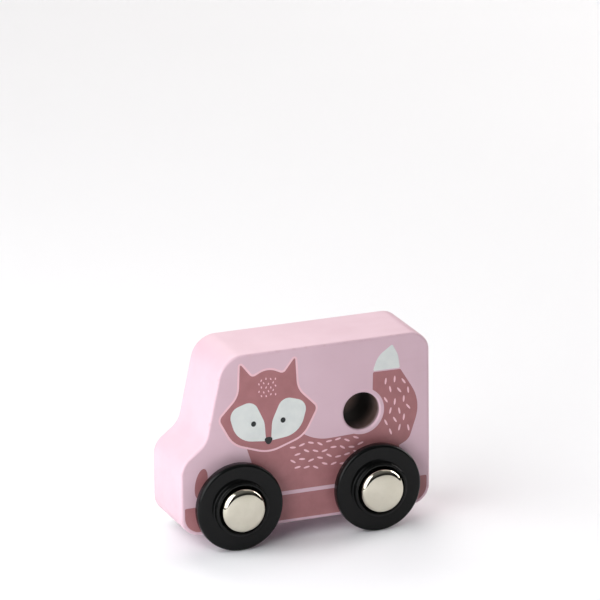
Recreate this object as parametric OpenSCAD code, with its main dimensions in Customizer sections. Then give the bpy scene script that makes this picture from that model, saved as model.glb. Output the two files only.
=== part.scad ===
// Wooden toy van on four free-turning wheels.
// +X points forward, +Y to the van's left and +Z up. The origin is on the
// ground, under the middle of the van.

/* [Body] */
// Length of the wooden block, bumper to bumper
body_length = 80; // [70:1:95]
// Thickness of the wooden block
body_width = 24; // [22:0.5:32]
// Height of the block, from its underside to its roof
body_height = 54.6; // [50:0.2:64]
// Height of the nose above the underside, where the bonnet starts
nose_height = 22.4; // [18:0.2:26]
// Distance from the nose back to the foot of the windscreen
cowl_setback = 8; // [6:0.2:12]
// Height of the foot of the windscreen above the underside
cowl_height = 28.4; // [26:0.2:34]
// Distance from the nose back to the top of the windscreen
screen_top_setback = 13.8; // [12:0.2:20]
// Radius of the round-over along both side outlines
edge_radius = 0.8; // [0.6:0.1:1.6]

/* [Filler hole] */
// Diameter of the filler hole for a toy fuel nozzle
filler_d = 11.6; // [8:0.1:14]
// Distance from the nose back to the hole's axis
filler_setback = 58; // [52:0.2:62]
// Height of the hole's axis above the underside
filler_height = 32; // [28:0.2:38]
// Width of the broken edge at each mouth of the hole
filler_chamfer = 0.6; // [0.3:0.1:1]

/* [Wheels] */
// Diameter of each wheel over its tread
wheel_d = 27.2; // [24:0.2:30]
// Distance from the nose back to the front axle
front_axle_setback = 17; // [16:0.2:20]
// Distance between the two axles
wheelbase = 44.4; // [40:0.2:50]
// Height of both axles above the underside
axle_height = 8.8; // [7:0.1:10]
// Outer diameter of the raised collar round each hub cap
collar_d = 16.8; // [16:0.1:18.6]
// Diameter of the recess that a hub cap sits in
recess_d = 14.6; // [14.2:0.1:15]

/* [Axles and caps] */
// Diameter of the steel axle rod
axle_d = 4; // [3:0.5:4]
// Outer diameter of the pressed hub cap
cap_d = 13.7; // [13:0.1:14]
// Thickness of the cap's sheet metal
cap_wall = 0.4; // [0.3:0.05:0.5]
// Radial clearance of the rod in the block and in the wheels
running_gap = 0.1; // [0.05:0.01:0.1]

/* [Hidden] */
$fn = 96;

// Corner radii of the side outline.
roof_rear_radius = 6;
screen_top_radius = 8;
cowl_radius = 8;
nose_radius = 7;
underside_radius = 6;
arc_steps = 8;

// The side outline: [setback from the nose, height above the underside, radius].
outline = [
    [0, 0, underside_radius],
    [0, nose_height, nose_radius],
    [cowl_setback, cowl_height, cowl_radius],
    [screen_top_setback, body_height, screen_top_radius],
    [body_length, body_height, roof_rear_radius],
    [body_length, 0, underside_radius]
];

// Heights and places in the van's own frame.
axle_z = wheel_d / 2;
underside_z = axle_z - axle_height;
front_x = body_length / 2 - front_axle_setback;
rear_x = front_x - wheelbase;
side_y = body_width / 2;
filler_x = body_length / 2 - filler_setback;
filler_z = underside_z + filler_height;

// Wheel section, measured outwards from the block's side.
boss_gap = 0.4;
boss_r = 5;
tread_inner = 2.4;
tread_outer = 5.2;
shoulder_r = 0.9;
heel_r = 0.3;
dish_depth = 0.15;
valley_r = 0.3;
collar_top = 7;
lip_r = 0.45;
recess_floor = 4.4;
core_inner_r = 8.4;
core_outer_r = 12;
core_depth = 1.4;
rib_count = 6;
rib_width = 1;

// Hub cap, measured the same way: its face is part of a sphere that runs
// smoothly into the rounded edge.
cap_rim = 4.7;
cap_shoulder = 8.9;
cap_edge_r = 1.7;
cap_curl_r = 5.5;
crown_angle = 9.5;
crown_edge = cap_d / 2 - cap_edge_r;
crown_r = crown_edge / sin(crown_angle) + cap_edge_r;
crown_centre = cap_shoulder - cap_edge_r - (crown_r - cap_edge_r) * cos(crown_angle);

// Grip washer and rod ends, measured the same way.
washer_seat = 0.02;
washer_gap = 0.05;
washer_t = 0.4;
washer_slots = 6;
slot_width = 0.8;
slot_reach = 4.2;
rod_end = 8.2;
rod_chamfer = 0.4;

// How far a cutting shape reaches past the surface that it cuts.
overshoot = 1;
sliver = 0.01;

// Points of a round corner: p is the corner, a and b its neighbours.
function unit(v) = v / norm(v);
function corner(a, p, b, r) =
    let (
        u = unit(a - p),
        v = unit(b - p),
        half = acos(u * v) / 2,
        centre = p + unit(u + v) * r / sin(half),
        start = p + u * r / tan(half),
        end = p + v * r / tan(half),
        from = atan2(start[1] - centre[1], start[0] - centre[0]),
        to = atan2(end[1] - centre[1], end[0] - centre[0]),
        turn = to - from > 180 ? to - from - 360
             : to - from < -180 ? to - from + 360
             : to - from
    )
    [for (i = [0:arc_steps])
        centre + r * [cos(from + turn * i / arc_steps), sin(from + turn * i / arc_steps)]];

function xy(p) = [p[0], p[1]];

function rounded(points) =
    let (n = len(points))
    [for (i = [0:n - 1], q = corner(
        xy(points[(i + n - 1) % n]), xy(points[i]), xy(points[(i + 1) % n]), points[i][2]))
        q];

// Points of an arc about centre c, from one angle to another.
function arc(c, r, from, to, steps = 6) =
    [for (i = [0:steps])
        c + r * [cos(from + (to - from) * i / steps), sin(from + (to - from) * i / steps)]];

// Turns a shape on the Z axis, starting at a block side, out along +Y or -Y.
module at_side(side, x) {
    translate([x, side * side_y, axle_z])
        rotate([-90 * side, 0, 0])
            children();
}

// The block with its side edges rounded over, without its holes.
module block_blank() {
    translate([body_length / 2, side_y - edge_radius, underside_z])
        rotate([90, 0, 0])
            mirror([1, 0, 0])
                minkowski() {
                    linear_extrude(height = body_width - 2 * edge_radius)
                        offset(delta = -edge_radius)
                            polygon(rounded(outline));
                    sphere(r = edge_radius, $fn = 24);
                }
}

// A round hole along Y through the whole block.
module cross_hole(x, z, d) {
    translate([x, side_y + overshoot, z])
        rotate([90, 0, 0])
            cylinder(d = d, h = body_width + 2 * overshoot);
}

// The broken edge at one mouth of the filler hole.
module mouth(side) {
    translate([filler_x, side * (side_y + sliver), filler_z])
        rotate([90 * side, 0, 0])
            cylinder(d1 = filler_d + 2 * filler_chamfer, d2 = filler_d, h = filler_chamfer);
}

module body_block() {
    color("pink")
        difference() {
            block_blank();
            cross_hole(front_x, axle_z, axle_d + 2 * running_gap);
            cross_hole(rear_x, axle_z, axle_d + 2 * running_gap);
            cross_hole(filler_x, filler_z, filler_d);
            mouth(1);
            mouth(-1);
        }
}

// A rod with chamfered ends, long enough to reach into both caps.
module axle_rod(x) {
    half = side_y + rod_end;
    color("silver")
        translate([x, 0, axle_z])
            rotate([90, 0, 0])
                rotate_extrude()
                    polygon([
                        [0, -half],
                        [axle_d / 2 - rod_chamfer, -half],
                        [axle_d / 2, -half + rod_chamfer],
                        [axle_d / 2, half - rod_chamfer],
                        [axle_d / 2 - rod_chamfer, half],
                        [0, half]
                    ]);
}

// Half section of a wheel: radius along X, distance from the block along Y.
// The face falls from the shoulder to a round valley at the foot of the collar.
module wheel_section() {
    bore_r = axle_d / 2 + running_gap;
    tread_r = wheel_d / 2;
    collar_r = collar_d / 2;
    recess_r = recess_d / 2;
    valley = tread_outer - dish_depth;
    polygon(concat(
        [[bore_r, boss_gap], [boss_r, boss_gap], [boss_r, tread_inner]],
        arc([tread_r - heel_r, tread_inner + heel_r], heel_r, -90, 0),
        arc([tread_r - shoulder_r, tread_outer - shoulder_r], shoulder_r, 0, 90),
        arc([collar_r + valley_r, valley + valley_r], valley_r, 270, 180),
        arc([collar_r - lip_r, collar_top - lip_r], lip_r, 0, 90),
        arc([recess_r + lip_r, collar_top - lip_r], lip_r, 90, 180),
        [[recess_r, recess_floor], [bore_r, recess_floor]]
    ));
}

// The ring-shaped pocket in a wheel's back, between its ribs.
module wheel_core() {
    difference() {
        translate([0, 0, tread_inner - overshoot])
            difference() {
                cylinder(r = core_outer_r, h = core_depth + overshoot);
                translate([0, 0, -overshoot])
                    cylinder(r = core_inner_r, h = core_depth + 3 * overshoot);
            }
        for (i = [0:rib_count - 1])
            rotate([0, 0, i * 360 / rib_count])
                translate([core_inner_r - overshoot, -rib_width / 2, 0])
                    cube([core_outer_r - core_inner_r + 2 * overshoot, rib_width, tread_outer]);
    }
}

module wheel(side, x) {
    color("#1c1c1c")
        at_side(side, x)
            difference() {
                rotate_extrude()
                    wheel_section();
                wheel_core();
            }
}

// The cap's outline from its side to its middle, sunk by a given depth.
function cap_outline(depth) = concat(
    arc([crown_edge, cap_shoulder - cap_edge_r], cap_edge_r - depth, 0, 90 - crown_angle),
    arc([0, crown_centre], crown_r - depth, 90 - crown_angle, 90)
);

function reversed(list) = [for (i = [len(list) - 1:-1:0]) list[i]];

// A thin pressed cup with a turned-in rim and a gently crowned face.
module hub_cap(side, x) {
    color("gainsboro")
        at_side(side, x)
            rotate_extrude()
                polygon(concat(
                    [[cap_curl_r, cap_rim], [cap_d / 2, cap_rim]],
                    cap_outline(0),
                    reversed(cap_outline(cap_wall)),
                    [[cap_d / 2 - cap_wall, cap_rim + cap_wall], [cap_curl_r, cap_rim + cap_wall]]
                ));
}

// A spring washer whose tongues bite on the rod inside the cap.
module grip_washer(side, x) {
    outer_r = cap_d / 2 - cap_wall - washer_gap;
    color("dimgray")
        at_side(side, x)
            translate([0, 0, cap_rim + cap_wall + washer_seat])
                linear_extrude(height = washer_t)
                    difference() {
                        circle(r = outer_r);
                        circle(r = axle_d / 2);
                        for (i = [0:washer_slots - 1])
                            rotate(i * 360 / washer_slots)
                                translate([0, -slot_width / 2])
                                    square([slot_reach, slot_width]);
                    }
}

body_block();
axle_rod(front_x);  // front_axle
axle_rod(rear_x);  // rear_axle
wheel(1, front_x);  // wheel_front_left
wheel(-1, front_x);  // wheel_front_right
wheel(1, rear_x);  // wheel_rear_left
wheel(-1, rear_x);  // wheel_rear_right
hub_cap(1, front_x);  // hub_cap_front_left
hub_cap(-1, front_x);  // hub_cap_front_right
hub_cap(1, rear_x);  // hub_cap_rear_left
hub_cap(-1, rear_x);  // hub_cap_rear_right
grip_washer(1, front_x);  // grip_washer_front_left
grip_washer(-1, front_x);  // grip_washer_front_right
grip_washer(1, rear_x);  // grip_washer_rear_left
grip_washer(-1, rear_x);  // grip_washer_rear_right
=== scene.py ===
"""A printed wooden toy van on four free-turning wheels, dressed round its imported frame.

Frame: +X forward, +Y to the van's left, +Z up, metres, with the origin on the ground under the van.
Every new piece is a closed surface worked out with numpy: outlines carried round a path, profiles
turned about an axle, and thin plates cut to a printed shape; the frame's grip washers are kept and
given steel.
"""

import logging
import math
from dataclasses import dataclass
from enum import Enum
from typing import NamedTuple, Sequence

import bmesh
import bpy
import numpy as np
from mathutils import Matrix, Vector
from mathutils.geometry import tessellate_polygon


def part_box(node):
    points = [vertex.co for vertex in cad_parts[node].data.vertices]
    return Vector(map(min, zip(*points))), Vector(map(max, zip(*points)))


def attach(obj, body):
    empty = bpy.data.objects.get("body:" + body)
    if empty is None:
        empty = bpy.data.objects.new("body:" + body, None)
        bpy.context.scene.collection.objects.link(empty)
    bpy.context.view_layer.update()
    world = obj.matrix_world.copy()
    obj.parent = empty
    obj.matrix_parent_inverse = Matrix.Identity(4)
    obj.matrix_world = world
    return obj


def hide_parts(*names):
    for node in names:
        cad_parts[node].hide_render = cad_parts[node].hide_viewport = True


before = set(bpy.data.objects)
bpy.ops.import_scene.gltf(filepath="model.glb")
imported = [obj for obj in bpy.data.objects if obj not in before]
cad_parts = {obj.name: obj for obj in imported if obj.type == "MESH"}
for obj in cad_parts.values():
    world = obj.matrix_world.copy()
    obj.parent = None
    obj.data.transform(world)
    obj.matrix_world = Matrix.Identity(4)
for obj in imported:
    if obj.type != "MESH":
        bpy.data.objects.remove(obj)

LOG = logging.getLogger("toy_van")
MM = 0.001
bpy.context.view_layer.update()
SHARP_ANGLE = math.radians(40)
SOFT_SPAN = (0.3, 0.7)

Socket = bpy.types.NodeSocket
Colour = tuple[float, float, float, float]
Point = tuple[float, float, float]
Span = tuple[float, float]


class Side(Enum):
    """The van's two sides, as the sign of Y."""

    LEFT = 1
    RIGHT = -1


class End(Enum):
    """The van's two ends, as used in the frame's names."""

    FRONT = "front"
    REAR = "rear"


class Slot(Enum):
    """The record's finish slots."""

    PAINT = "body_paint"
    PLASTIC = "wheel_plastic"
    NICKEL = "cap_nickel"
    AXLE_STEEL = "axle_steel"
    WASHER_STEEL = "washer_steel"
    ROSE_INK = "print_rose"
    WHITE_INK = "print_white"
    BLACK_INK = "print_black"


class Surface(NamedTuple):
    """A mesh as arrays: points, a list of face arrays and optional values per point."""

    points: np.ndarray
    faces: list[np.ndarray]
    marks: dict[str, np.ndarray]


# --- outlines -------------------------------------------------------------------------------------


def even_turn(steps: int) -> np.ndarray:
    """Angles of one full turn in equal steps, in radians, without a repeated end."""
    return np.linspace(0, 2 * math.pi, steps, endpoint=False)


def arc(
    centre: Sequence[float], radius: float, start: float, end: float, steps: int = 8
) -> np.ndarray:
    """Points on a circle: centre + radius (cos t, sin t), with t from start to end.

    Args:
        centre: the circle's middle.
        radius: its radius.
        start: first angle in degrees.
        end: last angle in degrees.
        steps: how many equal steps to take.

    Returns:
        An array of steps + 1 points.
    """
    t = np.radians(np.linspace(start, end, steps + 1))
    return np.asarray(centre) + radius * np.stack([np.cos(t), np.sin(t)], axis=1)


def ellipse(
    centre: Sequence[float], half: Sequence[float], tilt: float = 0.0, steps: int = 48
) -> np.ndarray:
    """Points of a tilted ellipse: centre + turn(tilt) (a cos t, b sin t).

    Args:
        centre: the middle.
        half: the two half-axes.
        tilt: turn of the first axis in degrees.
        steps: number of points.

    Returns:
        An array of steps points, without a repeated end.
    """
    t = even_turn(steps)
    local = np.stack([half[0] * np.cos(t), half[1] * np.sin(t)], axis=1)
    return np.asarray(centre) + local @ turn(tilt).T


def turn(degrees: float) -> np.ndarray:
    """The 2 by 2 matrix that turns a plane by an angle in degrees."""
    c, s = math.cos(math.radians(degrees)), math.sin(math.radians(degrees))
    return np.array([[c, -s], [s, c]])


def rounded(corners: Sequence[Sequence[float]], steps: int = 10) -> np.ndarray:
    """A closed outline through corners, each one replaced by an arc that touches both its sides.

    For a corner with half angle h between its sides, the arc's middle lies r / sin h along the
    bisector, and the arc touches the sides r / tan h away from the corner.

    Args:
        corners: rows of (x, z, radius).
        steps: steps in each arc.

    Returns:
        An array of points, without a repeated end.
    """
    rows = np.asarray(corners, dtype=float)
    parts = []
    for before, (x, z, r), after in zip(np.roll(rows, 1, 0), rows, np.roll(rows, -1, 0)):
        corner = np.array([x, z])
        u = before[:2] - corner
        v = after[:2] - corner
        u /= np.linalg.norm(u)
        v /= np.linalg.norm(v)
        half = math.acos(np.clip(u @ v, -1, 1)) / 2
        middle = corner + (u + v) / np.linalg.norm(u + v) * r / math.sin(half)
        first = corner + u * r / math.tan(half) - middle
        last = corner + v * r / math.tan(half) - middle
        a = math.degrees(math.atan2(first[1], first[0]))
        b = math.degrees(math.atan2(last[1], last[0]))
        sweep = (b - a + 180) % 360 - 180
        parts.append(arc(middle, r, a, a + sweep, steps))
    return np.vstack(parts)


def clear_of(
    outline: np.ndarray, middle: Sequence[float], radius: float, step: float = 0.25
) -> np.ndarray:
    """Cuts an outline back round a disc whose middle lies outside it.

    Points are spread evenly along the outline, and those inside the disc move straight out to its
    edge: middle + (point - middle) max(1, radius / distance).

    Args:
        outline: the closed outline.
        middle: the disc's middle.
        radius: the disc's radius.
        step: distance between the spread points.

    Returns:
        The new outline.
    """
    closed = np.vstack([outline, outline[:1]])
    run = np.concatenate([[0], np.cumsum(np.linalg.norm(np.diff(closed, axis=0), axis=1))])
    at = np.union1d(run[:-1], np.arange(0, run[-1], step))
    spread = np.stack([np.interp(at, run, closed[:, axis]) for axis in (0, 1)], axis=1)
    reach = spread - middle
    distance = np.linalg.norm(reach, axis=1, keepdims=True)
    return middle + reach * np.maximum(1, radius / distance)


def outward(outline: np.ndarray) -> np.ndarray:
    """Unit normals of a closed outline.

    Each normal is square to the chord between the point's neighbours, and the sign of the outline's
    area tells which way is out.

    Args:
        outline: the closed outline.

    Returns:
        One outward normal for each point.
    """
    ahead, behind = np.roll(outline, -1, 0), np.roll(outline, 1, 0)
    chord = ahead - behind
    normal = np.stack([chord[:, 1], -chord[:, 0]], axis=1)
    x, z = outline.T
    area = np.sum(x * np.roll(z, -1) - np.roll(x, -1) * z)
    return math.copysign(1, area) * normal / np.linalg.norm(normal, axis=1, keepdims=True)


# --- surfaces -------------------------------------------------------------------------------------


def strip_faces(rows: int, columns: int, start: int = 0, wrap_rows: bool = False) -> np.ndarray:
    """Quads of a grid of points whose columns wrap round.

    Args:
        rows: number of rows.
        columns: points in each row.
        start: index of the grid's first point.
        wrap_rows: whether the last row joins the first.

    Returns:
        An integer array of quads.
    """
    i = np.arange(rows if wrap_rows else rows - 1)[:, None]
    j = np.arange(columns)[None, :]
    below, above = i * columns, ((i + 1) % rows) * columns
    right = (j + 1) % columns
    quads = np.stack([below + j, below + right, above + right, above + j], axis=-1)
    return quads.reshape(-1, 4) + start


def fill(loops: Sequence[np.ndarray], starts: Sequence[int]) -> np.ndarray:
    """Triangles of a flat region with holes.

    Args:
        loops: the outer outline, then each hole's outline.
        starts: index of the first point of each loop in the mesh.

    Returns:
        An integer array of triangles.
    """
    triangles = tessellate_polygon([[Vector((x, z, 0)) for x, z in loop] for loop in loops])
    index = np.concatenate([start + np.arange(len(loop)) for loop, start in zip(loops, starts)])
    return index[np.asarray(triangles)]


def plate(outline: np.ndarray, low: float, high: float) -> Surface:
    """A flat plate of constant thickness across Y, cut to an outline in X and Z.

    Args:
        outline: the plate's edge.
        low: Y of one face.
        high: Y of the other.

    Returns:
        The closed surface.
    """
    count = len(outline)
    points = np.vstack([np.insert(outline, 1, y, axis=1) for y in (low, high)])
    bottom = fill([outline], [0])
    j = np.arange(count)
    k = np.roll(j, -1)
    wall = np.stack([j, k, k + count, j + count], axis=1)
    return Surface(points, [bottom, bottom[:, ::-1] + count, wall], {})


def lathe(profile: np.ndarray, angles: np.ndarray, ring: bool) -> Surface:
    """Turns a profile about the Y axis: (r cos a, s, r sin a) for profile rows (r, s).

    Args:
        profile: rows of (radius, distance along the axis).
        angles: one row of angles, or one for each profile row, in radians.
        ring: whether the profile closes on itself; if not, both its ends lie on the axis.

    Returns:
        The closed surface, with each point's radius marked as reach.
    """
    body = profile if ring else profile[1:-1]
    a = np.broadcast_to(angles, (len(body), angles.shape[-1]))
    radius = np.broadcast_to(body[:, :1], a.shape)
    along = np.broadcast_to(body[:, 1:2], a.shape)
    points = np.stack([radius * np.cos(a), along, radius * np.sin(a)], axis=-1).reshape(-1, 3)
    columns = a.shape[1]
    faces = [strip_faces(len(body), columns, wrap_rows=ring)]
    reach = radius.reshape(-1)
    if not ring:
        poles = [[0, profile[0, 1], 0], [0, profile[-1, 1], 0]]
        first = len(points)
        points = np.vstack([points, poles])
        reach = np.append(reach, [0, 0])
        j = np.arange(columns)
        k = np.roll(j, -1)
        last_row = (len(body) - 1) * columns
        faces.append(np.stack([np.full(columns, first), k, j], axis=1))
        faces.append(np.stack([np.full(columns, first + 1), j + last_row, k + last_row], axis=1))
    return Surface(points, faces, {"reach": reach})


def joined(surfaces: Sequence[Surface]) -> Surface:
    """One surface made of several separate closed ones.

    Args:
        surfaces: the closed surfaces.

    Returns:
        All their points and faces, without marks.
    """
    points, faces, offset = [], [], 0
    for surface in surfaces:
        points.append(surface.points)
        faces.extend(face + offset for face in surface.faces)
        offset += len(surface.points)
    return Surface(np.vstack(points), faces, {})


def add_piece(
    name: str, surface: Surface, finish: bpy.types.Material, body: str
) -> bpy.types.Object:
    """Makes a mesh object at the origin from a surface, smooth but with its sharp edges kept.

    Args:
        name: the piece's name.
        surface: its points, faces and marks in the van's frame.
        finish: its material.
        body: the moving body that it rides on.

    Returns:
        The new object.
    """
    mesh = bpy.data.meshes.new(name)
    faces = [face for block in surface.faces for face in block.tolist()]
    mesh.from_pydata(surface.points.tolist(), [], faces)
    for mark, values in surface.marks.items():
        layer = mesh.attributes.new(mark, "FLOAT", "POINT")
        layer.data.foreach_set("value", np.asarray(values, dtype=np.float32))
    work = bmesh.new()
    work.from_mesh(mesh)
    bmesh.ops.recalc_face_normals(work, faces=work.faces[:])
    work.to_mesh(mesh)
    work.free()
    mesh.polygons.foreach_set("use_smooth", np.ones(len(mesh.polygons), dtype=bool))
    mesh.set_sharp_from_angle(angle=SHARP_ANGLE)
    mesh.materials.append(finish)
    mesh.update()
    piece = bpy.data.objects.new(name, mesh)
    bpy.context.scene.collection.objects.link(piece)
    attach(piece, body)
    LOG.info("%s: %d points, %d faces", name, len(mesh.vertices), len(mesh.polygons))
    return piece


# --- finishes -------------------------------------------------------------------------------------


def colour(red: int, green: int, blue: int) -> Colour:
    """A linear colour from display values of 0 to 255, by the usual display curve.

    Args:
        red: the red value.
        green: the green value.
        blue: the blue value.

    Returns:
        The linear red, green and blue, and full opacity.
    """
    levels = (level / 255 for level in (red, green, blue))
    linear = (((v + 0.055) / 1.055) ** 2.4 if v > 0.04 else v / 12.92 for v in levels)
    return (*linear, 1.0)


class Graph:
    """A small helper that adds shader nodes to a material and links them."""

    def __init__(self, name: str) -> None:
        """Starts a material with one shader and its output.

        Args:
            name: the material's name.
        """
        self.material = bpy.data.materials.new(name)
        self.material.use_nodes = True
        self.tree = self.material.node_tree
        self.shader = self.tree.nodes["Principled BSDF"]
        self.place = self.node("ShaderNodeTexCoord").outputs["Object"]

    def node(self, kind: str, **settings: object) -> bpy.types.Node:
        """A new node.

        Args:
            kind: the node's type.
            **settings: properties to set on it.

        Returns:
            The node.
        """
        made = self.tree.nodes.new(kind)
        for key, value in settings.items():
            setattr(made, key, value)
        return made

    def feed(self, socket: Socket, value: object) -> None:
        """Links an output to a socket, or sets the socket to a plain value.

        Args:
            socket: the input.
            value: an output socket, a number or a colour.
        """
        if isinstance(value, Socket):
            self.tree.links.new(value, socket)
        else:
            socket.default_value = value

    def stretched(self, scale: Point) -> Socket:
        """Object coordinates stretched along each axis.

        Args:
            scale: the factor for each axis.

        Returns:
            The coordinates.
        """
        mapping = self.node("ShaderNodeMapping")
        self.feed(mapping.inputs["Vector"], self.place)
        mapping.inputs["Scale"].default_value = scale
        return mapping.outputs["Vector"]

    def noise(
        self, scale: float, detail: float = 3, rough: float = 0.5, at: object = None
    ) -> Socket:
        """Soft noise from 0 to 1 about 0.5.

        Args:
            scale: waves to the metre, roughly.
            detail: number of finer layers.
            rough: weight of the finer layers.
            at: coordinates, or None for the object's own.

        Returns:
            The noise value.
        """
        made = self.node("ShaderNodeTexNoise")
        self.feed(made.inputs["Vector"], self.place if at is None else at)
        made.inputs["Scale"].default_value = scale
        made.inputs["Detail"].default_value = detail
        made.inputs["Roughness"].default_value = rough
        return made.outputs["Fac"]

    def rings(self, scale: float, detail: float = 4) -> Socket:
        """Noise that only changes with a turned point's radius, as lathe marks do.

        Args:
            scale: waves to the metre of radius, roughly.
            detail: number of finer layers.

        Returns:
            The noise value.
        """
        made = self.node("ShaderNodeTexNoise", noise_dimensions="1D")
        self.feed(made.inputs["W"], self.mark("reach"))
        made.inputs["Scale"].default_value = scale
        made.inputs["Detail"].default_value = detail
        return made.outputs["Fac"]

    def mark(self, name: str) -> Socket:
        """A value stored on the mesh's points."""
        return self.node("ShaderNodeAttribute", attribute_name=name).outputs["Fac"]

    def remap(self, value: Socket, span: Span, to: Span = (0, 1)) -> Socket:
        """Carries a value from one range to another, clamped.

        Args:
            value: the value.
            span: the range it comes from.
            to: the range it is carried to.

        Returns:
            The carried value.
        """
        made = self.node("ShaderNodeMapRange")
        for socket, given in zip(made.inputs, (value, *span, *to)):
            self.feed(socket, given)
        return made.outputs["Result"]

    def maths(self, operation: str, a: object, b: object) -> Socket:
        """Two values put through one arithmetic operation.

        Args:
            operation: the operation's name.
            a: the first value.
            b: the second value.

        Returns:
            The result.
        """
        made = self.node("ShaderNodeMath", operation=operation)
        self.feed(made.inputs[0], a)
        self.feed(made.inputs[1], b)
        return made.outputs["Value"]

    def blend(self, amount: object, a: object, b: object) -> Socket:
        """A colour between two others.

        Args:
            amount: 0 for the first colour, 1 for the second.
            a: the first colour.
            b: the second colour.

        Returns:
            The blended colour.
        """
        made = self.node("ShaderNodeMix", data_type="RGBA")
        factor, first, second = (made.inputs[slot] for slot in (0, 6, 7))
        self.feed(factor, amount)
        self.feed(first, a)
        self.feed(second, b)
        return made.outputs[2]

    def bump(self, height: Socket, depth: float, under: object = None) -> Socket:
        """A bumped normal.

        Args:
            height: the relief, from 0 to 1.
            depth: how deep the relief is, in metres.
            under: a normal to start from, or None for the surface's own.

        Returns:
            The normal.
        """
        made = self.node("ShaderNodeBump")
        made.inputs["Strength"].default_value = 1.0
        made.inputs["Distance"].default_value = depth
        self.feed(made.inputs["Height"], height)
        if under is not None:
            self.feed(made.inputs["Normal"], under)
        return made.outputs["Normal"]

    def set(self, **values: object) -> bpy.types.Material:
        """Sets or links the shader's sockets.

        Args:
            **values: a value for each socket, by its name with _ for a space.

        Returns:
            The material.
        """
        for key, value in values.items():
            self.feed(self.shader.inputs[key.replace("_", " ")], value)
        return self.material


@dataclass(frozen=True)
class Lacquer:
    """Satin paint on a sanded block: faint grain, orange peel, thin paint on edges, and unpainted wood
    in the bores, darkened with painted shade that deepens to near black in their middle.

    A span is the part of a noise that a mark covers, and a share is how strongly it shows.
    """

    name: str = "pink_lacquer"
    light: Colour = colour(219, 188, 200)
    deep: Colour = colour(213, 181, 193)
    thin: Colour = colour(203, 165, 174)
    # Unpainted wood inside the bores, darkened with painted shade.
    bare_wood_in_shade: Colour = colour(88, 68, 58)
    # Painted shade deep inside the bores.
    shaded: Colour = colour(34, 26, 22)
    grain_scale: float = 120
    grain_stretch: Point = (0.35, 2.2, 4.0)
    grain_span: Span = (0.56, 0.74)
    grain_share: float = 0.14
    grain_depth: float = 0.018 * MM
    cloud_scale: float = 38
    cloud_span: Span = (0.35, 0.65)
    peel_scale: float = 1100
    peel_depth: float = 0.006 * MM
    wear_scale: float = 420
    wear_span: Span = (0.52, 0.66)
    wear_share: float = 0.6
    spray_scale: float = 300
    spray_share: float = 0.9
    sheen_scale: float = 160
    sheen: Span = (0.38, 0.5)
    bore_span: Span = (0.3, 1)
    bore_sheen: Span = (0.4, 0.95)
    specular: float = 0.35

    def build(self) -> bpy.types.Material:
        """Mixes the finish.

        Returns:
            The material.
        """
        g = Graph(self.name)
        bore = g.mark("bore")
        along = g.stretched(self.grain_stretch)
        grain = g.noise(self.grain_scale, detail=5, rough=0.6, at=along)
        cloud = g.remap(g.noise(self.cloud_scale), self.cloud_span)
        paint = g.blend(cloud, self.light, self.deep)
        lines = g.remap(grain, self.grain_span, (0, self.grain_share))
        paint = g.blend(lines, paint, self.thin)
        patches = g.noise(self.wear_scale, detail=4, rough=0.65)
        patches = g.remap(patches, self.wear_span, (0, self.wear_share))
        paint = g.blend(g.maths("MULTIPLY", g.mark("edge"), patches), paint, self.thin)
        spray = g.remap(g.noise(self.spray_scale, detail=4), SOFT_SPAN, (self.spray_share, 1))
        # Paint gives way to unpainted wood darkened with painted shade, then to darker painted shade
        # deeper in.
        inside = g.maths("MULTIPLY", g.remap(bore, (0, 1)), spray)
        paint = g.blend(inside, paint, self.bare_wood_in_shade)
        paint = g.blend(g.remap(bore, (1, 2)), paint, self.shaded)
        rough = g.remap(g.noise(self.sheen_scale, detail=4, rough=0.6), SOFT_SPAN, self.sheen)
        rough = g.maths("MAXIMUM", rough, g.remap(bore, self.bore_span, self.bore_sheen))
        normal = g.bump(grain, self.grain_depth)
        normal = g.bump(g.noise(self.peel_scale, detail=2), self.peel_depth, normal)
        return g.set(
            Base_Color=paint, Roughness=rough, Normal=normal, Specular_IOR_Level=self.specular
        )


@dataclass(frozen=True)
class Ink:
    """Matt screen-printed ink: slight mottling, uneven gloss and a fine mesh texture."""

    name: str
    body: Colour
    mottle: Colour
    roughness: float = 0.5
    mottle_scale: float = 260
    mottle_span: Span = (0.38, 0.66)
    gloss_scale: float = 900
    smoother: float = 0.06
    rougher: float = 0.08
    mesh_scale: float = 2600
    mesh_depth: float = 0.004 * MM

    def build(self) -> bpy.types.Material:
        """Mixes the finish.

        Returns:
            The material.
        """
        g = Graph(self.name)
        mottled = g.remap(g.noise(self.mottle_scale, detail=4, rough=0.6), self.mottle_span)
        ink = g.blend(mottled, self.body, self.mottle)
        gloss = (self.roughness - self.smoother, self.roughness + self.rougher)
        rough = g.remap(g.noise(self.gloss_scale), SOFT_SPAN, gloss)
        normal = g.bump(g.noise(self.mesh_scale, detail=2), self.mesh_depth)
        return g.set(Base_Color=ink, Roughness=rough, Normal=normal)


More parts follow.
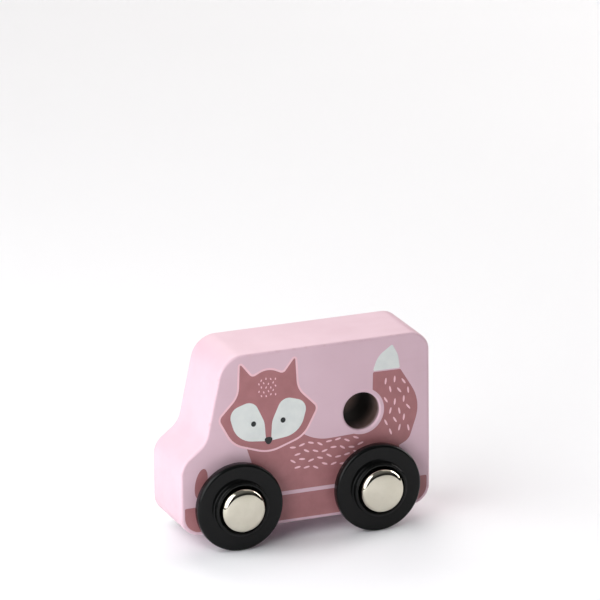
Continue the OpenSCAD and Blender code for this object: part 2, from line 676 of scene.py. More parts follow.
@dataclass(frozen=True)
class Plastic:
    """Black moulded plastic: a light satin texture, the mould's turning marks and faint scuffs."""

    name: str = "black_plastic"
    body: Colour = colour(11, 12, 12)
    scuffed: Colour = colour(25, 26, 26)
    scuff_scale: float = 420
    scuff_span: Span = (0.56, 0.8)
    scuff_share: float = 0.3
    sheen_scale: float = 240
    sheen: Span = (0.12, 0.2)
    texture_scale: float = 3200
    texture_depth: float = 0.0006 * MM
    ring_scale: float = 2200
    ring_depth: float = 0.0012 * MM
    specular: float = 0.17

    def build(self) -> bpy.types.Material:
        """Mixes the finish.

        Returns:
            The material.
        """
        g = Graph(self.name)
        scuffs = g.noise(self.scuff_scale, detail=4, rough=0.6)
        scuffs = g.remap(scuffs, self.scuff_span, (0, self.scuff_share))
        base = g.blend(scuffs, self.body, self.scuffed)
        rough = g.remap(g.noise(self.sheen_scale, detail=4, rough=0.6), SOFT_SPAN, self.sheen)
        normal = g.bump(g.noise(self.texture_scale, detail=2), self.texture_depth)
        normal = g.bump(g.rings(self.ring_scale), self.ring_depth, normal)
        return g.set(
            Base_Color=base, Roughness=rough, Normal=normal, Specular_IOR_Level=self.specular
        )


@dataclass(frozen=True)
class PlatedMetal:
    """Bright metal with fine turning marks and soft smudges."""

    name: str
    bright: Colour
    dull: Colour
    sheen: Span
    smudge_scale: float = 210
    smudge_span: Span = (0.36, 0.7)
    haze_scale: float = 430
    haze_span: Span = (0.3, 0.72)
    ring_scale: float = 5200
    ring_depth: float = 0.0012 * MM

    def build(self) -> bpy.types.Material:
        """Mixes the finish.

        Returns:
            The material.
        """
        g = Graph(self.name)
        smudge = g.remap(g.noise(self.smudge_scale, detail=5, rough=0.62), self.smudge_span)
        tone = g.blend(smudge, self.bright, self.dull)
        rough = g.remap(g.noise(self.haze_scale, detail=5, rough=0.6), self.haze_span, self.sheen)
        normal = g.bump(g.rings(self.ring_scale), self.ring_depth)
        return g.set(Base_Color=tone, Metallic=1.0, Roughness=rough, Normal=normal)


@dataclass(frozen=True)
class Backdrop:
    """A matt pale studio floor."""

    name: str = "studio_floor"
    pale: Colour = colour(244, 245, 248)
    shade: Colour = colour(241, 242, 245)
    cloud_scale: float = 6
    roughness: float = 0.75

    def build(self) -> bpy.types.Material:
        """Mixes the finish.

        Returns:
            The material.
        """
        g = Graph(self.name)
        tone = g.blend(g.noise(self.cloud_scale), self.pale, self.shade)
        return g.set(Base_Color=tone, Roughness=self.roughness)


class Finishes:
    """Every material of the van, built once."""

    def __init__(self) -> None:
        """Builds all the materials."""
        rose = Ink("rose_ink", colour(170, 113, 116), colour(162, 106, 109))
        white = Ink("white_ink", colour(224, 228, 225), colour(216, 221, 219))
        pale = Ink("pale_pink_ink", colour(238, 197, 205), colour(232, 191, 200))
        black = Ink("black_ink", colour(28, 32, 34), colour(22, 26, 28), 0.4)
        nickel = PlatedMetal(
            "bright_nickel", colour(208, 203, 188), colour(199, 194, 178), (0.05, 0.11)
        )
        steel = PlatedMetal(
            "drawn_steel", colour(196, 196, 196), colour(176, 176, 177), (0.22, 0.38)
        )
        spring = PlatedMetal(
            "spring_steel", colour(120, 122, 128), colour(96, 98, 106), (0.3, 0.5)
        )
        self.paint = Lacquer().build()
        self.rose = rose.build()
        self.white = white.build()
        self.pale = pale.build()
        self.black = black.build()
        self.plastic = Plastic().build()
        self.nickel = nickel.build()
        self.steel = steel.build()
        self.spring = spring.build()
        self.floor = Backdrop().build()


# --- the wooden block -----------------------------------------------------------------------------


class Mouth(NamedTuple):
    """A round hole across the block: its middle in X and Z, its radius and its mouth's easing."""

    x: float
    z: float
    radius: float
    ease: float


@dataclass
class Block:
    """The sawn, sanded and painted body with its axle bores and filler hole.

    Lengths along X are setbacks from the nose, and heights are above the underside. Overspray and the
    painted shade depth are the depths in a hole at which the paint ends and at which painted shade
    makes its wall fully dark.
    """

    nose_height: float = 22.4 * MM
    cowl_setback: float = 8.0 * MM
    cowl_height: float = 28.4 * MM
    screen_setback: float = 13.8 * MM
    underside_radius: float = 6 * MM
    nose_radius: float = 7 * MM
    cowl_radius: float = 8 * MM
    screen_radius: float = 8 * MM
    roof_rear_radius: float = 6 * MM
    edge_radius: float = 0.8 * MM
    filler_setback: float = 58 * MM
    filler_height: float = 32 * MM
    filler_radius: float = 5.8 * MM
    filler_ease: float = 0.6 * MM
    bore_radius: float = 2.1 * MM
    bore_ease: float = 0.1 * MM
    support: float = 0.12 * MM
    corner_steps: int = 20
    edge_steps: int = 8
    mouth_steps: int = 6
    hole_steps: int = 96
    # Depth marks of a hole's deepest rows: up to 1 the paint gives way, from 1 to 2 painted shade
    # darkens the wall.
    wall_marks: tuple[float, float, float, float] = (0.35, 0.6, 1.0, 2.0)
    overspray: float = 2 * MM
    # Depth at which painted shade makes a hole's wall fully dark.
    painted_shade_depth: float = 9 * MM

    def __post_init__(self) -> None:
        """Takes the block's box and the axles' places from the frame."""
        low, high = (Vector(corner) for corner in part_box("body_block"))
        self.front, self.back = high.x, low.x
        self.bottom, self.top = low.z, high.z
        self.half_width = high.y
        self.axles = {end: axle_centre(end) for end in End}
        filler_x = self.front - self.filler_setback
        filler_z = self.bottom + self.filler_height
        self.filler = Mouth(filler_x, filler_z, self.filler_radius, self.filler_ease)

    def outline(self, inset: float = 0.0) -> np.ndarray:
        """The side view's outline.

        Args:
            inset: how far it is sunk along its normals.

        Returns:
            The closed outline.
        """
        edge = rounded(
            [
                (self.front, self.bottom, self.underside_radius),
                (self.front, self.bottom + self.nose_height, self.nose_radius),
                (self.front - self.cowl_setback, self.bottom + self.cowl_height, self.cowl_radius),
                (self.front - self.screen_setback, self.top, self.screen_radius),
                (self.back, self.top, self.roof_rear_radius),
                (self.back, self.bottom, self.underside_radius),
            ],
            steps=self.corner_steps,
        )
        return edge - inset * outward(edge)

    def rim(self) -> tuple[np.ndarray, np.ndarray, list[np.ndarray]]:
        """The skin from side face to side face round the outline.

        Row by row: a support ring on the flat face, a quarter circle (inset r (1 - sin t), Y lowered
        by r (1 - cos t)), a support ring on the band, and the same again mirrored.

        Returns:
            Points, edge marks and the rows' outlines.
        """
        t = np.radians(np.linspace(0, 90, self.edge_steps + 1))
        reach = [self.edge_radius + self.support]
        inset = np.concatenate([reach, self.edge_radius * (1 - np.sin(t)), [0.0]])
        drop = np.concatenate([[0.0], self.edge_radius * (1 - np.cos(t)), reach])
        edge = np.concatenate([[0.0], np.sin(2 * t), [0.0]])
        rows = [self.outline(value) for value in inset]
        y = self.half_width - drop
        near = [np.insert(row, 1, height, axis=1) for row, height in zip(rows, y)]
        far = [points * (1, -1, 1) for points in reversed(near)]
        marks = np.concatenate([edge, edge[::-1]])
        return np.vstack(near + far), np.repeat(marks, len(rows[0])), rows

    def tunnel(self, hole: Mouth) -> tuple[np.ndarray, np.ndarray, int, np.ndarray]:
        """The wall of one hole from side to side, with a quarter-round mouth at each end.

        Args:
            hole: the hole.

        Returns:
            Points, how far each one lies inside from 0 to 2 (from 1 to 2 its wall takes painted
            shade), the row count and the face's circle.
        """
        t = np.radians(np.linspace(0, 90, self.mouth_steps + 1))
        reach = hole.ease + self.support
        below = [reach, self.overspray, self.painted_shade_depth]
        flare = [[reach], hole.ease * (1 - np.sin(t)), np.zeros(len(below))]
        radius = hole.radius + np.concatenate(flare)
        drop = np.concatenate([[0.0], hole.ease * (1 - np.cos(t)), below])
        deep = np.concatenate([np.zeros(len(t)), self.wall_marks])
        y = self.half_width - drop
        y = np.concatenate([y, -y[::-1]])
        radius, deep = (np.concatenate([half, half[::-1]]) for half in (radius, deep))
        a = even_turn(self.hole_steps)
        x = hole.x + radius[:, None] * np.cos(a)
        z = hole.z + radius[:, None] * np.sin(a)
        points = np.stack([x, np.broadcast_to(y[:, None], x.shape), z], axis=-1)
        circle = points[0][:, (0, 2)]
        return points.reshape(-1, 3), np.repeat(deep, self.hole_steps), len(y), circle

    def build(self, finishes: Finishes) -> bpy.types.Object:
        """The whole block as one closed skin.

        Args:
            finishes: the van's materials.

        Returns:
            The block.
        """
        points, edge, rows = self.rim()
        columns = len(rows[0])
        row_count = len(points) // columns
        faces = [strip_faces(row_count, columns)]
        parts, inside, offset = [points], [np.zeros(len(points))], len(points)
        starts, circles = [], []
        bores = [Mouth(x, z, self.bore_radius, self.bore_ease) for x, z in self.axles.values()]
        for hole in [self.filler, *bores]:
            wall, deep, count, circle = self.tunnel(hole)
            faces.append(strip_faces(count, self.hole_steps, offset))
            parts.append(wall)
            inside.append(deep)
            starts.append((offset, offset + (count - 1) * self.hole_steps))
            circles.append(circle)
            offset += len(wall)
        loops = [rows[0], *circles]
        faces.append(fill(loops, [0, *(start for start, _ in starts)]))
        faces.append(fill(loops, [(row_count - 1) * columns, *(end for _, end in starts)]))
        every = np.vstack(parts)
        marks = {"edge": np.pad(edge, (0, len(every) - len(edge))), "bore": np.concatenate(inside)}
        skin = Surface(every, faces, marks)
        block = add_piece("van_block", skin, finishes.paint, "van")
        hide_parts("body_block")
        return block


# --- the print ------------------------------------------------------------------------------------


class DashGroup(NamedTuple):
    """Staggered rows of short dashes, in millimetres and degrees."""

    x: float
    z: float
    rows: int
    columns: int
    pitch: Span
    lean: float
    half: Span


@dataclass
class SidePrint:
    """A plain woodland-animal print on one side: thin films of ink that stand just proud of the paint.

    Places are (x, z) in millimetres in the van's frame. A film starts under the paint's surface and
    stands out by its own lift, so that the films lie on each other in order.
    """

    side: Side
    block: Block
    sunk: float = 0.03 * MM
    low_lift: float = 0.02 * MM
    lift_step: float = 0.008 * MM
    margin: float = 1.1
    hole_margin: float = 7.2
    ground_top: float = 13.8
    head_x: float = 12.0
    gap: float = 0.6
    eye_height: float = 37.5
    eye_spread: float = 4.7
    eye_half: Span = (0.8, 0.85)
    eye_steps: int = 28
    back_dashes: DashGroup = DashGroup(-6.6, 25.2, 4, 8, (2.9, 2.4), 8, (1.0, 0.3))
    tail_dashes: DashGroup = DashGroup(-29.4, 37.4, 6, 3, (2.9, 3.1), 78, (1.05, 0.3))
    brow_dashes: DashGroup = DashGroup(12.2, 48.4, 5, 4, (1.5, 1.25), 90, (0.36, 0.2))
    stagger: float = 0.5
    swing: float = 0.18
    scatter: float = 26
    dash_steps: int = 14

    def film(
        self,
        name: str,
        shapes: Sequence[np.ndarray],
        layer: int,
        finish: bpy.types.Material,
        slot: Slot,
    ) -> None:
        """One ink film made of one or more outlines.

        Args:
            name: what the film shows.
            shapes: its outlines in millimetres.
            layer: how many films lie under it.
            finish: its material.
            slot: the record's finish slot; not used.
        """
        face = self.block.half_width
        top = face + self.low_lift + layer * self.lift_step
        sign = self.side.value
        low, high = sign * (face - self.sunk), sign * top
        plates = [plate(shape * MM, low, high) for shape in shapes]
        add_piece(f"print_{name}_{self.side.name.lower()}", joined(plates), finish, "van")

    def mirrored(self, shape: np.ndarray) -> np.ndarray:
        """A shape flipped about the head's middle line."""
        return (shape * (-1, 1) + (2 * self.head_x, 0))[::-1]

    def head_outline(self, grow: float = 0.0) -> np.ndarray:
        """The head: a rounded shield with two pointed ears, the same on both sides of its middle.

        Args:
            grow: how far the outline stands out along its normals.

        Returns:
            The closed outline.
        """
        half = [
            (5.0, 52.0, 1.5), (8.8, 56.8, 0.3), (9.3, 46.6, 7), (15.6, 40.2, 1.8), (11.2, 32.0, 8),
        ]
        crown, chin = (self.head_x, 54.4, 6), (self.head_x, 28.2, 10)
        right = [(self.head_x - x, z, r) for x, z, r in half]
        left = [(self.head_x + x, z, r) for x, z, r in reversed(half)]
        edge = rounded([crown, *right, chin, *left], steps=8)
        return edge + grow * outward(edge)

    def cheek(self) -> np.ndarray:
        """One white cheek: a leaf with its point by the nose and its round end under the ear."""
        leaf = [
            (0.8, 31.6, 0.3), (1.2, 37.6, 6), (4.6, 45.0, 3.4), (12.8, 42.4, 3.4), (10.0, 32.6, 7),
        ]
        return rounded([(self.head_x + x, z, r) for x, z, r in leaf])

    def tail_outline(self) -> np.ndarray:
        """The tail: a leaf between two arcs that rises from the back of the body."""
        return rounded(
            [
                (-20.6, 24.0, 1), (-21.4, 38.0, 14), (-21.7, 48.6, 0.4), (-30.6, 48.5, 0.4),
                (-37.2, 37.6, 12), (-33.2, 26.0, 4), (-29.0, 24.0, 1),
            ]
        )

    def tip_outline(self) -> np.ndarray:
        """The tail's white tip."""
        return rounded(
            [
                (-21.7, 49.0, 0.4), (-30.4, 48.9, 0.4), (-29.8, 53.2, 6), (-28.0, 56.6, 0.4),
                (-23.2, 53.4, 7),
            ]
        )

    def eyes_and_nose(self) -> list[np.ndarray]:
        """Two small oval eyes and a nose with three rounded corners.

        Returns:
            The three outlines.
        """
        places = (self.head_x - self.eye_spread, self.head_x + self.eye_spread)
        eyes = [ellipse((x, self.eye_height), self.eye_half, steps=self.eye_steps) for x in places]
        corners = [(-1.8, 32.8, 0.8), (0.0, 29.6, 0.9), (1.8, 32.8, 0.8)]
        return [*eyes, rounded([(self.head_x + x, z, r) for x, z, r in corners])]

    def body_outline(self) -> np.ndarray:
        """The body: a band from under the head to the tail, with a hollow back and a flat belly."""
        return rounded(
            [
                (19.0, 15.0, 1.5), (17.0, 24.0, 8), (19.6, 32.0, 2), (4.0, 34.5, 2), (-3.0, 29.6, 14),
                (-24.0, 30.4, 2), (-30.0, 26.0, 3), (-30.0, 15.0, 2),
            ]
        )

    def ground_outline(self) -> np.ndarray:
        """The strip along the bottom of the side, just inside the block's own outline.

        Returns:
            The closed outline.
        """
        block = self.block
        front, back = (value / MM for value in (block.front, block.back))
        low = block.bottom / MM + self.margin
        radius = block.underside_radius / MM - self.margin
        return rounded(
            [
                (front - self.margin, low, radius),
                (front - self.margin, self.ground_top, 0.5),
                (back + self.margin, self.ground_top, 0.5),
                (back + self.margin, low, radius),
            ]
        )

    def dashes(self, group: DashGroup) -> list[np.ndarray]:
        """Short rounded dashes in staggered rows, each one leaning more or less than the last.

        For column c and row r, odd rows shift along by half a pitch, a dash stands higher by
        0.18 sin(2.1 c + r) of the rows' pitch, and it leans by 26 sin(1.7 c + 2.3 r) degrees more.

        Args:
            group: where the dashes are, how many and how large.

        Returns:
            The dashes' outlines.
        """
        shapes = []
        for row in range(group.rows):
            for column in range(group.columns):
                along = column - (group.columns - 1) / 2 + self.stagger * (row % 2 - 0.5)
                above = row - (group.rows - 1) / 2 + self.swing * math.sin(2.1 * column + row)
                place = (group.x + along * group.pitch[0], group.z + above * group.pitch[1])
                lean = group.lean + self.scatter * math.sin(1.7 * column + 2.3 * row)
                shapes.append(ellipse(place, group.half, lean, steps=self.dash_steps))
        return shapes

    def build(self, finishes: Finishes) -> None:
        """All the films of this side.

        Args:
            finishes: the van's materials.
        """
        filler = self.block.filler
        hole = np.array([filler.x, filler.z]) / MM
        body = clear_of(self.body_outline(), hole, self.hole_margin)
        tail = clear_of(self.tail_outline(), hole, self.hole_margin)
        cheeks = [self.cheek(), self.mirrored(self.cheek())]
        paw = ellipse((33.6, 21.0), (1.9, 4.7), 12)
        groups = (self.back_dashes, self.tail_dashes, self.brow_dashes)
        marks = [dash for group in groups for dash in self.dashes(group)]
        rose = (finishes.rose, Slot.ROSE_INK)
        white = (finishes.white, Slot.WHITE_INK)
        pale = (finishes.pale, Slot.PAINT)
        self.film("ground", [self.ground_outline(), paw], 0, *rose)
        self.film("body", [body], 0, *rose)
        self.film("tail", [tail], 1, *rose)
        self.film("tail_tip", [self.tip_outline()], 1, *white)
        self.film("head_gap", [self.head_outline(self.gap)], 2, *pale)
        self.film("head", [self.head_outline()], 3, *rose)
        self.film("cheeks", cheeks, 4, *white)
        self.film("eyes_and_nose", self.eyes_and_nose(), 5, finishes.black, Slot.BLACK_INK)
        self.film("dashes", marks, 4, *pale)


# --- wheels and axles -----------------------------------------------------------------------------


def axle_centre(end: End) -> tuple[float, float]:
    """The place of an axle, from the frame's rod.

    Args:
        end: which axle.

    Returns:
        X and Z of its middle line.
    """
    low, high = (Vector(corner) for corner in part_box(f"{end.value}_axle"))
    middle = (low + high) / 2
    return middle.x, middle.z


def mounted(surface: Surface, end: End, side: Side, face: float) -> Surface:
    """Moves a turned part from the Y axis to an axle, outwards from the block's side.

    Args:
        surface: the part, with Y as its distance from the block.
        end: which axle.
        side: which side.
        face: Y of the block's left side.

    Returns:
        The part in the van's frame.
    """
    x, z = axle_centre(end)
    placed = surface.points * (1, side.value, 1) + (x, side.value * face, z)
    return surface._replace(points=placed)


@dataclass
class Wheel:
    """A one-piece moulded wheel: rounded tread, dished face, raised collar, cored back with ribs.

    Distances along the axle are measured outwards from the block's side.
    """

    end: End
    side: Side
    face: float
    bore_radius: float = 2.1 * MM
    bore_ease: float = 0.1 * MM
    boss_gap: float = 0.4 * MM
    boss_edge: float = 0.2 * MM
    boss_radius: float = 5 * MM
    tread_inner: float = 2.4 * MM
    tread_outer: float = 5.2 * MM
    shoulder: float = 0.9 * MM
    heel: float = 0.3 * MM
    dish: float = 0.15 * MM
    dish_curve: float = 1.6
    valley: float = 0.3 * MM
    collar_radius: float = 8.4 * MM
    collar_top: float = 7.0 * MM
    lip: float = 0.45 * MM
    recess_radius: float = 7.3 * MM
    recess_floor: float = 4.4 * MM
    recess_corner: float = 0.3 * MM
    core_inner: float = 8.4 * MM
    core_outer: float = 12 * MM
    core_depth: float = 1.4 * MM
    draft: float = 0.12 * MM
    ribs: int = 6
    rib_half: float = 0.5 * MM
    rib_steps: int = 3
    gap_steps: int = 26
    parting: float = 0.03 * MM
    parting_half: float = 0.15 * MM

    @property
    def node(self) -> str:
        """The frame's name for this wheel."""
        return f"wheel_{self.end.value}_{self.side.name.lower()}"

    def profile(self) -> tuple[np.ndarray, np.ndarray]:
        """The wheel's half section as a closed loop of (radius, distance from the block).

        Returns:
            The loop, and a mask of its points on the cored back.
        """
        low, high = (Vector(corner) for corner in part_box(self.node))
        tread = (high.z - low.z) / 2
        valley_top = self.tread_outer - self.dish
        back_r = np.concatenate(
            [
                np.linspace(self.boss_radius, self.core_inner, 4),
                self.core_inner + self.draft * np.array([1, 2]),
                np.linspace(self.core_inner, self.core_outer, 9)[1:-1],
                self.core_outer - self.draft * np.array([2, 1]),
                np.linspace(self.core_outer, tread - self.heel, 3)[:-1],
            ]
        )
        back = np.stack([back_r, np.full_like(back_r, self.tread_inner)], axis=1)
        middle = (self.tread_inner + self.tread_outer) / 2
        skin = tread - self.parting
        tread_line = [
            (skin, middle - self.parting_half), (tread, middle), (skin, middle + self.parting_half),
        ]
        shoulder_end = skin - self.shoulder
        u = np.linspace(0, 1, 9)[1:-1]
        valley_r = self.collar_radius + self.valley
        dish_r = shoulder_end + (valley_r - shoulder_end) * u
        dish_s = self.tread_outer - self.dish * u**self.dish_curve
        collar_side = self.collar_top - self.lip
        bore_edge = self.bore_radius + self.bore_ease
        floor = self.recess_floor
        corner = self.recess_corner
        parts = [
            [(self.bore_radius, self.boss_gap + self.bore_ease), (bore_edge, self.boss_gap)],
            [
                (self.boss_radius - self.boss_edge, self.boss_gap),
                (self.boss_radius, self.boss_gap + self.boss_edge),
            ],
            back,
            arc((skin - self.heel, self.tread_inner + self.heel), self.heel, -90, 0),
            tread_line,
            arc((shoulder_end, self.tread_outer - self.shoulder), self.shoulder, 0, 90, steps=14),
            np.stack([dish_r, dish_s], axis=1),
            arc((valley_r, valley_top + self.valley), self.valley, 270, 180, steps=6),
            arc((self.collar_radius - self.lip, collar_side), self.lip, 0, 90),
            arc((self.recess_radius + self.lip, collar_side), self.lip, 90, 180),
            arc((self.recess_radius - corner, floor + corner), corner, 0, -90, steps=4),
            [(bore_edge, floor), (self.bore_radius, floor - self.bore_ease)],
        ]
        loop = np.vstack([np.asarray(part) for part in parts])
        on_back = np.zeros(len(loop), dtype=bool)
        first = len(parts[0]) + len(parts[1])
        on_back[first : first + len(back)] = True
        return loop, on_back

    def build(self, finishes: Finishes) -> bpy.types.Object:
        """The wheel, turned and then cored.

        Within each rib's share of the turn, the lines beside the rib keep a constant distance from its
        middle, and the back sinks by the core's depth between the ribs and between the core's radii.

        Args:
            finishes: the van's materials.

        Returns:
            The wheel.
        """
        loop, on_back = self.profile()
        sector = math.pi / self.ribs
        edge = self.rib_half / ((self.core_inner + self.core_outer) / 2)
        wall = self.draft / self.core_inner
        over_rib = np.linspace(-edge, edge, self.rib_steps)
        over_gap = np.linspace(edge + wall, 2 * sector - edge - wall, self.gap_steps)
        local = np.concatenate([over_rib, over_gap])
        base = (local[None, :] + 2 * sector * np.arange(self.ribs)[:, None]).reshape(-1)
        radius = np.clip(loop[:, 0], self.core_inner, self.core_outer)[:, None]
        from_rib = (base + sector) % (2 * sector) - sector
        true_edge = np.arcsin(self.rib_half / radius)
        near = from_rib * true_edge / edge
        past = (np.abs(from_rib) - edge) / (sector - edge)
        far = np.sign(from_rib) * (true_edge + past * (sector - true_edge))
        warped = base - from_rib + np.where(np.abs(from_rib) <= edge, near, far)
        angles = np.where(on_back[:, None], warped, base[None, :])
        surface = lathe(loop, angles, ring=True)
        between = np.clip((np.abs(from_rib) - edge) / wall, 0, 1)
        rise = np.clip((loop[:, 0] - self.core_inner) / self.draft, 0, 1)
        fall = np.clip((self.core_outer - loop[:, 0]) / self.draft, 0, 1)
        depth = self.core_depth * np.where(on_back, rise * fall, 0)[:, None] * between[None, :]
        surface.points[:, 1] += depth.reshape(-1)
        body = f"{self.end.value}_{self.side.name.lower()}_wheel"
        placed = mounted(surface, self.end, self.side, self.face)
        piece = add_piece(f"moulded_{self.node}", placed, finishes.plastic, body)
        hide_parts(self.node)
        return piece


@dataclass
class HubCap:
    """A thin pressed cap: turned-in rim, straight side, rounded edge and a nearly flat crown."""

    end: End
    side: Side
    face: float
    radius: float = 6.85 * MM
    wall: float = 0.4 * MM
    rim: float = 4.7 * MM
    curl: float = 5.5 * MM
    shoulder: float = 8.9 * MM
    edge: float = 1.7 * MM
    bend: float = 0.35 * MM
    crown_angle: float = 9.5
    steps: int = 144

    def outline(self, depth: float) -> np.ndarray:
        """The edge arc and the crown arc that runs smoothly out of it.

        Args:
            depth: how far the arcs are sunk along their normals.

        Returns:
            Rows of (radius, distance from the block), from the cap's side to its middle.
        """
        crown_edge = self.radius - self.edge
        crown = math.radians(self.crown_angle)
        sphere = crown_edge / math.sin(crown) + self.edge
        middle = self.shoulder - self.edge
        centre = middle - (sphere - self.edge) * math.cos(crown)
        start = 90 - self.crown_angle
        return np.vstack(
            [
                arc((crown_edge, middle), self.edge - depth, 0, start, steps=14),
                arc((0, centre), sphere - depth, start, 90, steps=16)[1:],
            ]
        )

    def build(self, finishes: Finishes) -> bpy.types.Object:
        """The cap.

        Args:
            finishes: the van's materials.

        Returns:
            The cap.
        """
        rim = arc((self.radius - self.bend, self.rim + self.bend), self.bend, 0, -90, steps=5)
        inner_rim = self.rim + self.wall
        profile = np.vstack(
            [
                self.outline(self.wall)[::-1],
                [(self.radius - self.wall, inner_rim), (self.curl, inner_rim)],
                [(self.curl, self.rim)],
                rim[::-1],
                self.outline(0),
            ]
        )
        profile[[0, -1], 0] = 0
        surface = lathe(profile, even_turn(self.steps), ring=False)
        node = f"hub_cap_{self.end.value}_{self.side.name.lower()}"
        placed = mounted(surface, self.end, self.side, self.face)
        body = f"{self.end.value}_axle_set"
        piece = add_piece(f"pressed_{node}", placed, finishes.nickel, body)
        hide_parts(node)
        return piece


@dataclass
class Axle:
    """A drawn steel rod with chamfered ends."""

    end: End
    chamfer: float = 0.4 * MM
    steps: int = 72

    def build(self, finishes: Finishes) -> bpy.types.Object:
        """The rod.

        Args:
            finishes: the van's materials.

        Returns:
            The rod.
        """
        node = f"{self.end.value}_axle"
        low, high = (Vector(corner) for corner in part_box(node))
        half, radius = high.y, (high.z - low.z) / 2
        inner = radius - self.chamfer
        end_rows = [(0, half), (inner, half), (radius, half - self.chamfer)]
        profile = np.array([(r, -s) for r, s in end_rows] + end_rows[::-1])
        surface = lathe(profile, even_turn(self.steps), ring=False)
        placed = mounted(surface, self.end, Side.LEFT, 0)
        piece = add_piece(f"steel_{node}", placed, finishes.steel, f"{node}_set")
        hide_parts(node)
        return piece


# --- the studio -----------------------------------------------------------------------------------


@dataclass
class Softbox:
    """One square soft light, aimed at a point."""

    name: str
    place: Point
    size: float
    power: float
    tint: Point = (1, 1, 1)
    target: Point = (0, 0, 0.03)

    def build(self) -> None:
        """Adds the light to the scene."""
        data = bpy.data.lights.new(self.name, "AREA")
        data.shape = "SQUARE"
        data.size = self.size
        data.energy = self.power
        data.color = self.tint
        light = bpy.data.objects.new(self.name, data)
        light.location = self.place
        away = Vector(self.place) - Vector(self.target)
        light.rotation_euler = away.to_track_quat("Z", "Y").to_euler()
        light.visible_camera = False
        bpy.context.scene.collection.objects.link(light)


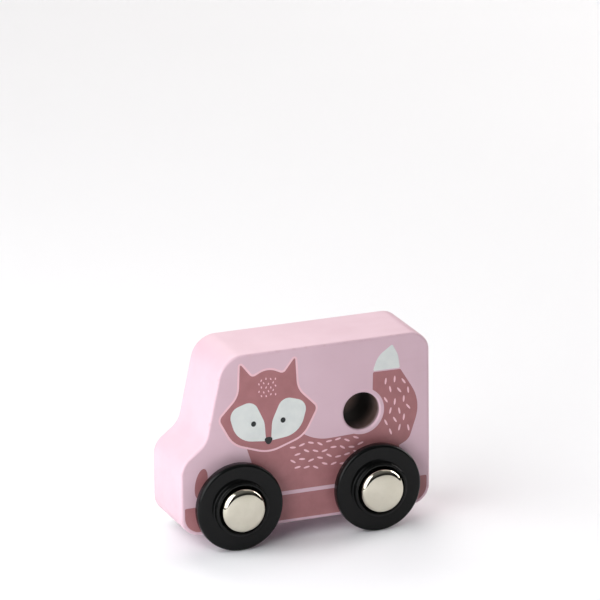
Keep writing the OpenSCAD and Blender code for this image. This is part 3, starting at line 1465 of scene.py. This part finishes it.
@dataclass
class Studio:
    """The floor, the surround, the lights and the camera."""

    floor_half: float = 0.65
    floor_ahead: float = 0.32
    horizon: Span = (0.25, 0.10)
    zenith: Span = (0.85, 1.0)
    surround: float = 0.2
    azimuth: float = 158.6
    elevation: float = 17.69
    roll: float = -0.656
    distance: float = 1.7068
    lens: float = 341.1
    clip: Span = (0.1, 20)
    aim: Point = (0.0, 0.0, 0.03)
    aim_right: float = 2.6 * MM
    aim_up: float = 38.6 * MM

    def camera(self) -> None:
        """The camera, on a line set by azimuth and elevation, and rolled slightly.

        The line back to the camera is (sin a cos e, -cos a cos e, sin e). The camera then shifts
        along its own right and up without turning.
        """
        a, e, roll = (math.radians(value) for value in (self.azimuth, self.elevation, self.roll))
        back = Vector((math.sin(a) * math.cos(e), -math.cos(a) * math.cos(e), math.sin(e)))
        right = (-back).cross(Vector((0, 0, 1))).normalized()
        up = right.cross(-back)
        place = Vector(self.aim) + back * self.distance
        c, s = math.cos(roll), math.sin(roll)
        x_axis, y_axis = c * right + s * up, c * up - s * right
        place += x_axis * self.aim_right + y_axis * self.aim_up
        data = bpy.data.cameras.new("camera")
        data.lens = self.lens
        data.clip_start, data.clip_end = self.clip
        camera = bpy.data.objects.new("camera", data)
        axes = Matrix((x_axis, y_axis, back)).transposed().to_4x4()
        camera.matrix_world = Matrix.Translation(place) @ axes
        bpy.context.scene.collection.objects.link(camera)
        bpy.context.scene.camera = camera

    def floor(self, finishes: Finishes) -> None:
        """A plain floor before the white backdrop. It ends sooner ahead of the van than elsewhere.

        Args:
            finishes: the materials.
        """
        r, x = self.floor_half, self.floor_ahead
        mesh = bpy.data.meshes.new("floor")
        mesh.from_pydata([(-r, -r, 0), (x, -r, 0), (x, r, 0), (-r, r, 0)], [], [(0, 1, 2, 3)])
        mesh.materials.append(finishes.floor)
        floor = bpy.data.objects.new("floor", mesh)
        bpy.context.scene.collection.objects.link(floor)

    def sky(self) -> None:
        """A dim surround that brightens from the horizon up, and a plain white backdrop.

        Only the camera's own rays see the backdrop; light and reflections come from the surround.
        """
        world = bpy.data.worlds.new("surround")
        world.use_nodes = True
        tree = world.node_tree
        place = tree.nodes.new("ShaderNodeTexCoord")
        split = tree.nodes.new("ShaderNodeSeparateXYZ")
        ramp = tree.nodes.new("ShaderNodeValToRGB")
        dim = tree.nodes["Background"]
        tree.links.new(place.outputs["Generated"], split.inputs[0])
        tree.links.new(split.outputs["Z"], ramp.inputs["Fac"])
        tree.links.new(ramp.outputs["Color"], dim.inputs["Color"])
        for stop, (place_on_ramp, grey) in zip(ramp.color_ramp.elements, (self.horizon, self.zenith)):
            stop.position = place_on_ramp
            stop.color = (grey, grey, grey, 1)
        dim.inputs["Strength"].default_value = self.surround
        backdrop = tree.nodes.new("ShaderNodeBackground")
        backdrop.inputs["Color"].default_value = (1, 1, 1, 1)
        path = tree.nodes.new("ShaderNodeLightPath")
        choice = tree.nodes.new("ShaderNodeMixShader")
        tree.links.new(path.outputs["Is Camera Ray"], choice.inputs[0])
        tree.links.new(dim.outputs[0], choice.inputs[1])
        tree.links.new(backdrop.outputs[0], choice.inputs[2])
        tree.links.new(choice.outputs[0], tree.nodes["World Output"].inputs["Surface"])
        bpy.context.scene.world = world

    def lights(self) -> None:
        """Small soft lights close ahead of the van, wide ones high up, and one low at its back."""
        warm = (1.0, 0.965, 0.93)
        softboxes = (
            Softbox("key_ahead", (0.30, 0.11, 0.21), 0.4, 1.42, (0.98, 0.98, 0.98)),
            Softbox("key_side", (0.30, 0.26, 0.14), 0.25, 0.3, (0.94, 0.96, 1.0)),
            Softbox("key_right", (0.55, -0.30, 0.40), 0.4, 1.1, (1.0, 0.99, 1.0)),
            Softbox("high_rear", (-1.5, -0.6, 2.1), 2.2, 8.5, warm),
            Softbox("high_right", (-0.3, -2.4, 1.9), 2.0, 40, warm),
            Softbox("wash_ahead", (1.9, 0.0, 2.2), 2.0, 12, target=(1.9, 0.0, 0.0)),
            Softbox("low_rear", (-1.3, -0.32, 0.55), 0.8, 13, (1.0, 0.97, 0.95)),
        )
        for softbox in softboxes:
            softbox.build()

    def build(self, finishes: Finishes) -> None:
        """The whole studio.

        Args:
            finishes: the materials.
        """
        self.floor(finishes)
        self.sky()
        self.lights()
        bpy.context.scene.view_settings.view_transform = "Standard"


def dress_washers(finishes: Finishes) -> None:
    """Gives the frame's own grip washers their steel.

    Args:
        finishes: the van's materials.
    """
    for end in End:
        for side in Side:
            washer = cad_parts[f"grip_washer_{end.value}_{side.name.lower()}"]
            washer.data.materials.clear()
            washer.data.materials.append(finishes.spring)


def main() -> None:
    """Builds the studio and the van, piece by piece."""
    logging.basicConfig(level=logging.INFO, format="%(name)s %(message)s")
    studio = Studio()
    studio.camera()
    finishes = Finishes()
    block = Block()
    block.build(finishes)
    for side in Side:
        SidePrint(side, block).build(finishes)
    for end in End:
        Axle(end).build(finishes)
        for side in Side:
            Wheel(end, side, block.half_width).build(finishes)
            HubCap(end, side, block.half_width).build(finishes)
    dress_washers(finishes)
    studio.build(finishes)


if __name__ == "__main__":
    main()
